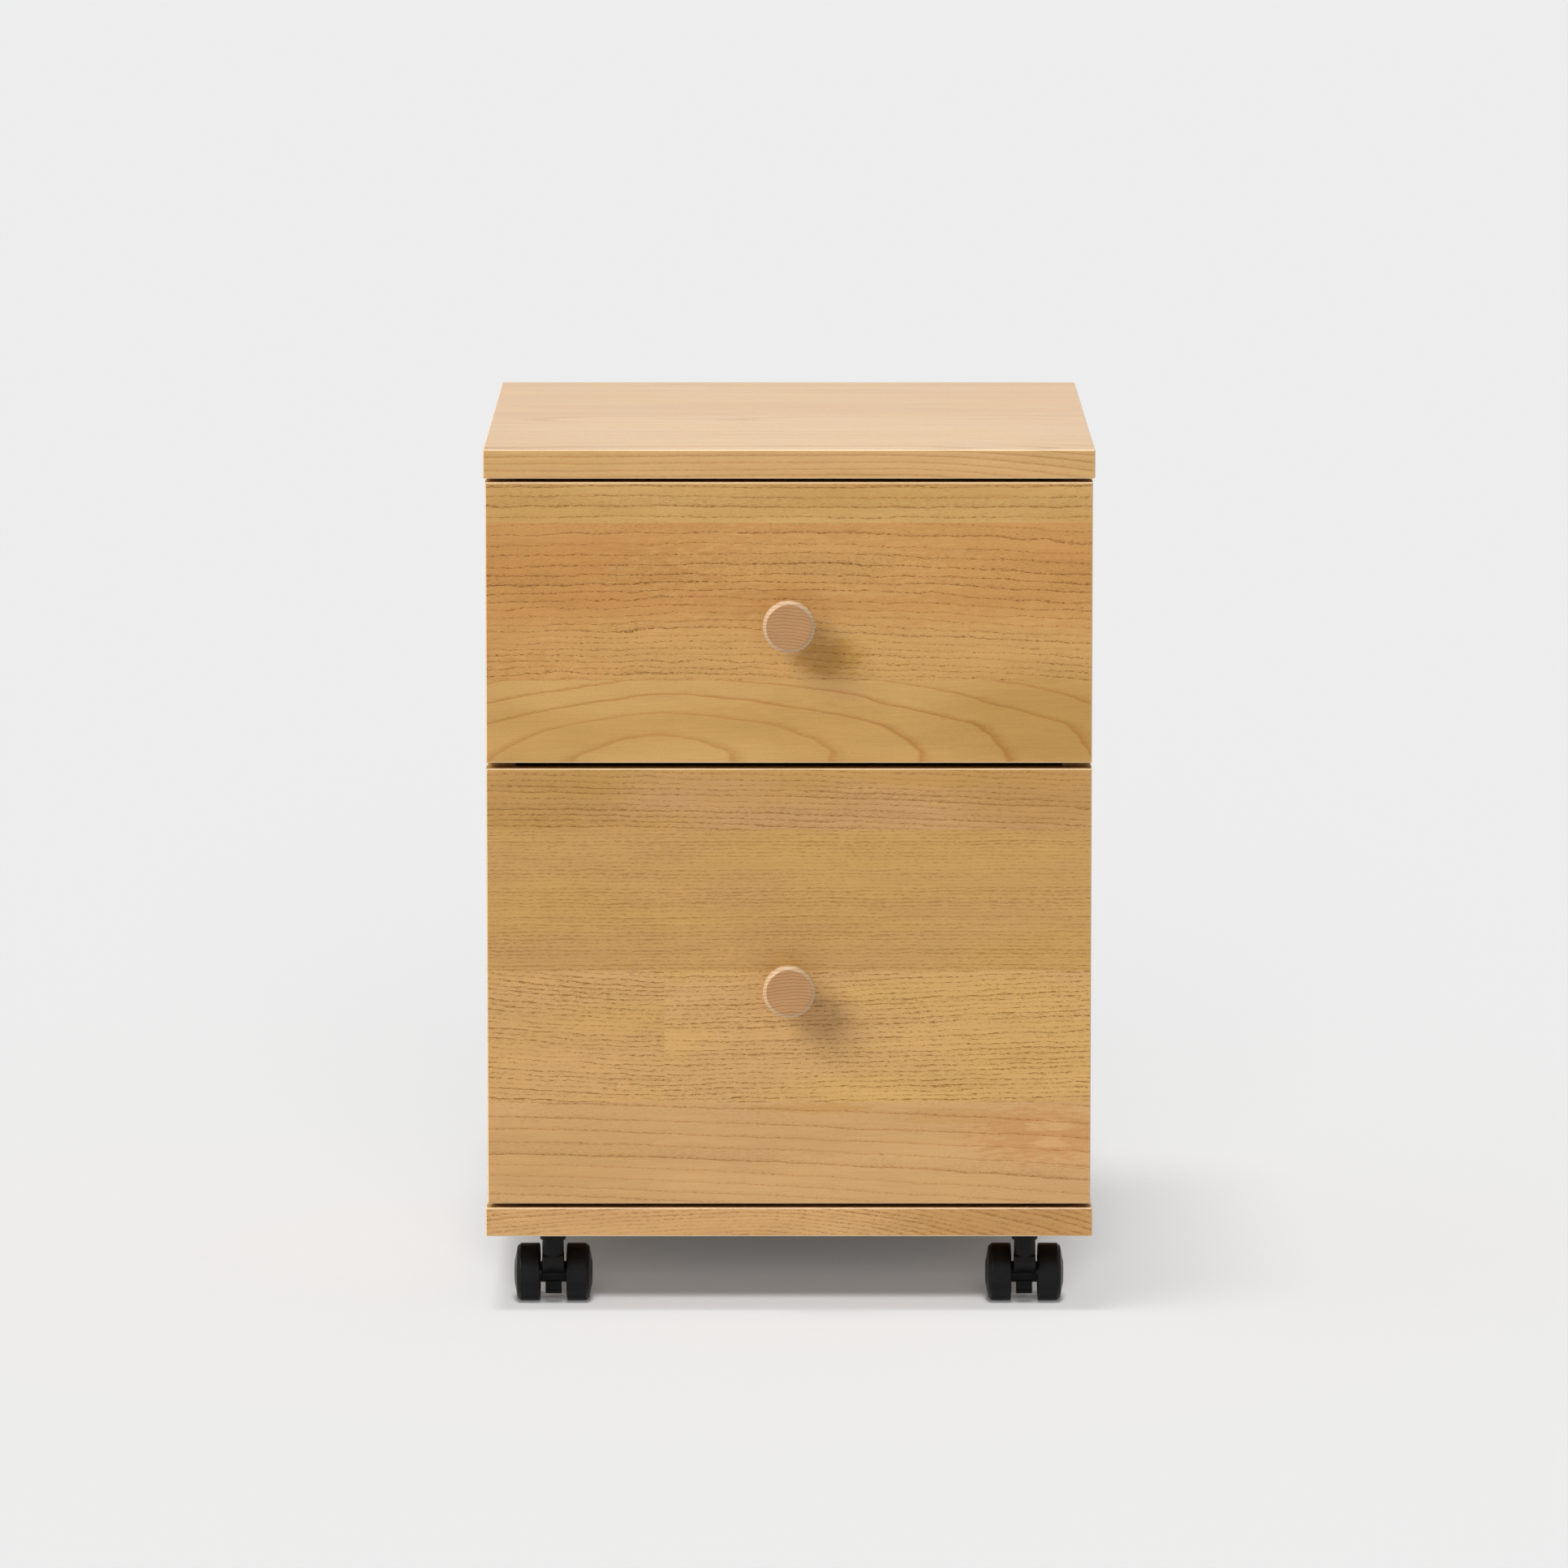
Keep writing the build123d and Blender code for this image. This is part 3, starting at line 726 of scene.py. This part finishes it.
def add_screw(form, seat, toward, radius, height):
    """Add a screw's head, which stands on its seat towards the driver."""
    outline = [(0, 0), (0, radius), (height * 0.5, radius), (height * 0.85, radius * 0.86),
               (height, radius * 0.62)]
    rim = add_turned(form, outline, seat, toward, SCREW_FACETS)[-1]
    arm = radius * 0.44
    half = radius * 0.13
    quarter = [(arm, -half), (arm, half), (half, half)]
    cross = [(x * math.cos(turn) - y * math.sin(turn), x * math.sin(turn) + y * math.cos(turn))
             for turn in (0, math.pi / 2, math.pi, math.pi * 3 / 2) for x, y in quarter]
    place = standing(seat, toward)
    lip = [form.verts.new(place @ (Vector((x, y, height)) * MM)) for x, y in cross]
    pit = [form.verts.new(place @ (Vector((x * 0.75, y * 0.75, height * 0.45)) * MM)) for x, y in cross]
    form.faces.new(pit)
    for number in range(len(cross)):
        after = (number + 1) % len(cross)
        form.faces.new((lip[number], lip[after], pit[after], pit[number]))
        form.faces.new((rim[2 * number], rim[2 * number + 1], rim[(2 * number + 2) % SCREW_FACETS],
                        lip[after], lip[number]))


def add_front_screws(drawer, material):
    """Screws through the box front into the drawer front."""
    low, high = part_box(f"{drawer}_box_front")
    form = bmesh.new()
    for x in (-FRONT_SCREW_OUT * MM, FRONT_SCREW_OUT * MM):
        for z in (low.z + FRONT_SCREW_ABOVE * MM, high.z - FRONT_SCREW_BELOW * MM):
            add_screw(form, Vector((x, high.y, z)), (0, 1, 0), **FRONT_SCREW)
    add_piece(f"{drawer}_front_screws", form, material, f"{drawer}_drawer", "bright_steel")


def add_slide_screws(drawer, part, body, material):
    """Screws through the runners into the box, or through the rails into the cabinet."""
    form = bmesh.new()
    for side in SIDES:
        low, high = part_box(f"{drawer}_{side}_slide_{part}")
        # A rail's web lies against the cabinet's side, and a runner's against the box
        web_is_low = (side == "left") == (part == "rail")
        web_x, toward = (low.x, 1) if web_is_low else (high.x, -1)
        for y in (low.y + BEHIND_FRONT_END * MM, (low.y + high.y) / 2 - BEFORE_MIDDLE * MM,
                  high.y - BEFORE_BACK_END * MM):
            seat = Vector((web_x + toward * SLIDE_WEB * MM, y, (low.z + high.z) / 2))
            add_screw(form, seat, (toward, 0, 0), SLIDE_SCREW_RADIUS, SLIDE_SCREW_HEIGHTS[part])
    add_piece(f"{drawer}_{part}_screws", form, material, body, "bright_steel")


# Moulded housings and sanded boards get a small round along every edge

HOUSING_ROUND = 0.45
BOARD_ROUND = 0.6
BOX_ROUND = 0.5
ROUNDED_ABOVE = 40
ROUNDED_BOARDS = ("top_panel", "bottom_panel", "left_side_panel", "right_side_panel",
                  "upper_front", "lower_front")
BOX_WALLS = ("left", "right", "front", "back")


def round_edges(width, *names):
    for name in names:
        rounding = nodes[name].modifiers.new("rounded_edges", "BEVEL")
        rounding.width = width * MM
        rounding.segments = 2
        rounding.limit_method = "ANGLE"
        rounding.angle_limit = math.radians(ROUNDED_ABOVE)


# Studio, in metres. The lens and the sensor are in millimetres

CAMERA_X = -0.0056
CAMERA_DISTANCE = 6.983
CAMERA_HEIGHT = 1.295
AIM_X = -0.0034
AIM_HEIGHT = 0.3689
FOCAL_LENGTH = 235.0
SENSOR_WIDTH = 36
CLIP_END = 100
FLOOR_REACH = 60

# BACKDROP is what the rays that see it find, and WORLD_LEVEL what lights the object
BACKDROP = 0.84
WORLD_LEVEL = 0.44
FLOOR_GREY = 0.35
FLOOR_GLOW = 0.09


def set_camera():
    """A camera as far away and as high as the photograph's, measured from the plane of the drawer fronts."""
    front_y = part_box("upper_front")[0].y
    aim = Vector((AIM_X, front_y, AIM_HEIGHT))
    data = bpy.data.cameras.new("camera")
    data.sensor_width = SENSOR_WIDTH
    data.lens = FOCAL_LENGTH
    data.clip_end = CLIP_END
    camera = bpy.data.objects.new("camera", data)
    camera.location = (CAMERA_X, front_y - CAMERA_DISTANCE, CAMERA_HEIGHT)
    camera.rotation_euler = (aim - camera.location).to_track_quat("-Z", "Y").to_euler()
    bpy.context.scene.collection.objects.link(camera)
    bpy.context.scene.camera = camera


def seen_rays(tree):
    """1 for the rays that the camera, a reflection or a transparent piece sees, and 0 for the light's own."""
    rays = tree.nodes.new("ShaderNodeLightPath").outputs
    seen = Field(rays["Is Camera Ray"]).most(Field(rays["Is Glossy Ray"]))
    return seen.most(Field(rays["Is Transmission Ray"]))


def floor_paint():
    """Matt grey, with a faint light of its own for the rays that see it."""
    material, shader, _ = new_material("floor")
    tree = material.node_tree
    shader.inputs["Base Color"].default_value = (FLOOR_GREY, FLOOR_GREY, FLOOR_GREY, 1)
    shader.inputs["Roughness"].default_value = 1.0
    shader.inputs["Specular IOR Level"].default_value = 0.0
    glow = tree.nodes.new("ShaderNodeEmission")
    glow.inputs["Color"].default_value = (BACKDROP, BACKDROP, BACKDROP, 1)
    mix = tree.nodes.new("ShaderNodeMixShader")
    give(mix.inputs[0], seen_rays(tree) * FLOOR_GLOW)
    give(mix.inputs[1], Field(shader.outputs[0]))
    give(mix.inputs[2], Field(glow.outputs[0]))
    output = next(node for node in tree.nodes if node.type == "OUTPUT_MATERIAL")
    give(output.inputs["Surface"], Field(mix.outputs[0]))
    return material


def lay_floor():
    corners = [(-FLOOR_REACH, -FLOOR_REACH, 0), (FLOOR_REACH, -FLOOR_REACH, 0),
               (FLOOR_REACH, FLOOR_REACH, 0), (-FLOOR_REACH, FLOOR_REACH, 0)]
    mesh = bpy.data.meshes.new("floor")
    mesh.from_pydata(corners, [], [(0, 1, 2, 3)])
    mesh.materials.append(floor_paint())
    floor = bpy.data.objects.new("floor", mesh)
    bpy.context.scene.collection.objects.link(floor)
    return floor


def light_world():
    """White all round, which lights the object less than it shows."""
    world = bpy.data.worlds.new("studio")
    bpy.context.scene.world = world
    world.use_nodes = True
    background = next(node for node in world.node_tree.nodes if node.type == "BACKGROUND")
    background.inputs["Color"].default_value = (1, 1, 1, 1)
    give(background.inputs["Strength"], blend(seen_rays(world.node_tree), WORLD_LEVEL, BACKDROP))


def lamp(name, floor, floor_state, toward_light, strength, softness, blockers=()):
    """A far, soft lamp that lights the floor alone (INCLUDE) or all but the floor (EXCLUDE).

    Where it has blockers, only those throw its shadow. softness is its width in degrees.
    """
    data = bpy.data.lights.new(name, "SUN")
    data.energy = strength
    data.angle = math.radians(softness)
    made = bpy.data.objects.new(name, data)
    made.rotation_euler = Vector(toward_light).to_track_quat("Z", "Y").to_euler()
    bpy.context.scene.collection.objects.link(made)
    group = bpy.data.collections.new(f"{name}_receivers")
    group.objects.link(floor)
    made.light_linking.receiver_collection = group
    for link in group.collection_objects:
        link.light_linking.link_state = floor_state
    if blockers:
        shades = bpy.data.collections.new(f"{name}_blockers")
        for blocker in blockers:
            shades.objects.link(blocker)
        made.light_linking.blocker_collection = shades


def hang_lamps(floor, low_pieces):
    """Two lamps for the cabinet, and three for the floor, two of which only the low pieces shade."""
    lamp("key", floor, "EXCLUDE", (-0.60, -0.50, 0.60), strength=2.55, softness=28)
    lamp("above", floor, "EXCLUDE", (0.0, 0.06, 1.0), strength=0.95, softness=40)
    lamp("floor_left", floor, "INCLUDE", (-0.14, -0.13, 1.0), strength=1.75, softness=17)
    lamp("floor_front", floor, "INCLUDE", (0.0, -0.45, 1.0), strength=3.96, softness=14, blockers=low_pieces)
    lamp("floor_low", floor, "INCLUDE", (0.0, -1.0, 0.45), strength=2.19, softness=30, blockers=low_pieces)


# The cabinet's boards

dress(fronts_wood(), "upper_front", "lower_front")
dress(top_wood(), "top_panel")
dress(bottom_wood(), "bottom_panel")
dress(side_wood("left", face=-208.5, inward=1, seed=41), "left_side_panel")
dress(side_wood("right", face=208.5, inward=-1, seed=47), "right_side_panel")
dress(back_wood(), "back_panel")
round_edges(BOARD_ROUND, *ROUNDED_BOARDS)

# Drawers and slides

box_sides = box_wood("box_side_wood", "YZX", seed=53, heart_depth=150)
box_ends = box_wood("box_end_wood", "XZY", seed=59, heart_depth=0)
sheet_wood = plywood()
knobs_wood = knob_wood()
cage_plastic = plastic("cage_plastic", (206, 204, 196), roughness=0.5, specular=0.4, dust=0.15)
zinc_steel = metal("zinc_steel", (196, 198, 201), roughness=0.34, streak=(1.5, 60, 1.5), spangle=0.06)
bright_steel = metal("bright_steel", (205, 205, 206), roughness=0.22, streak=(2, 2, 2))
aluminium = metal("aluminium", (208, 209, 211), roughness=0.36, streak=(0.4, 90, 0.4))

dress(sheet_wood, "carcass_tongues")
dress(aluminium, "file_bars")
dress(bright_steel, "caster_stems")
for drawer in DRAWERS:
    dress(box_sides, f"{drawer}_box_left", f"{drawer}_box_right")
    dress(box_ends, f"{drawer}_box_front", f"{drawer}_box_back")
    dress(sheet_wood, f"{drawer}_box_bottom")
    dress(knobs_wood, f"{drawer}_knob")
    dress(bright_steel, f"{drawer}_knob_screw")
    dress(cage_plastic, f"{drawer}_outer_ball_retainers", f"{drawer}_inner_ball_retainers")
    for side in SIDES:
        for member in ("rail", "middle", "runner"):
            dress(zinc_steel, f"{drawer}_{side}_slide_{member}")
    round_edges(BOX_ROUND, *(f"{drawer}_box_{wall}" for wall in BOX_WALLS))
    turn_knob(drawer, knobs_wood)

# Casters

caster_plastic = plastic("caster_plastic", (20, 20, 21), roughness=0.42, specular=0.14, dust=0.04)
wheels = []
for place in CASTERS:
    dress(caster_plastic, f"{place}_caster_housing")
    dress(bright_steel, f"{place}_caster_axle")
    round_edges(HOUSING_ROUND, f"{place}_caster_housing")
    for side in SIDES:
        wheels.append(turn_wheel(place, side, caster_plastic))

# Balls and screws of the drawers

for drawer in DRAWERS:
    for race in WINDOW_INSETS:
        add_balls(drawer, race, bright_steel)
for drawer in DRAWERS:
    add_front_screws(drawer, bright_steel)
    add_slide_screws(drawer, "runner", f"{drawer}_drawer", bright_steel)
    add_slide_screws(drawer, "rail", "cabinet", bright_steel)

# Camera, floor and light

bpy.context.scene.view_settings.view_transform = "Standard"
set_camera()
light_world()
low_nodes = [f"{drawer}_box_{part}" for drawer in DRAWERS for part in (*BOX_WALLS, "bottom")]
low_nodes += [f"{place}_caster_housing" for place in CASTERS]
hang_lamps(lay_floor(), [nodes[name] for name in low_nodes] + wheels)
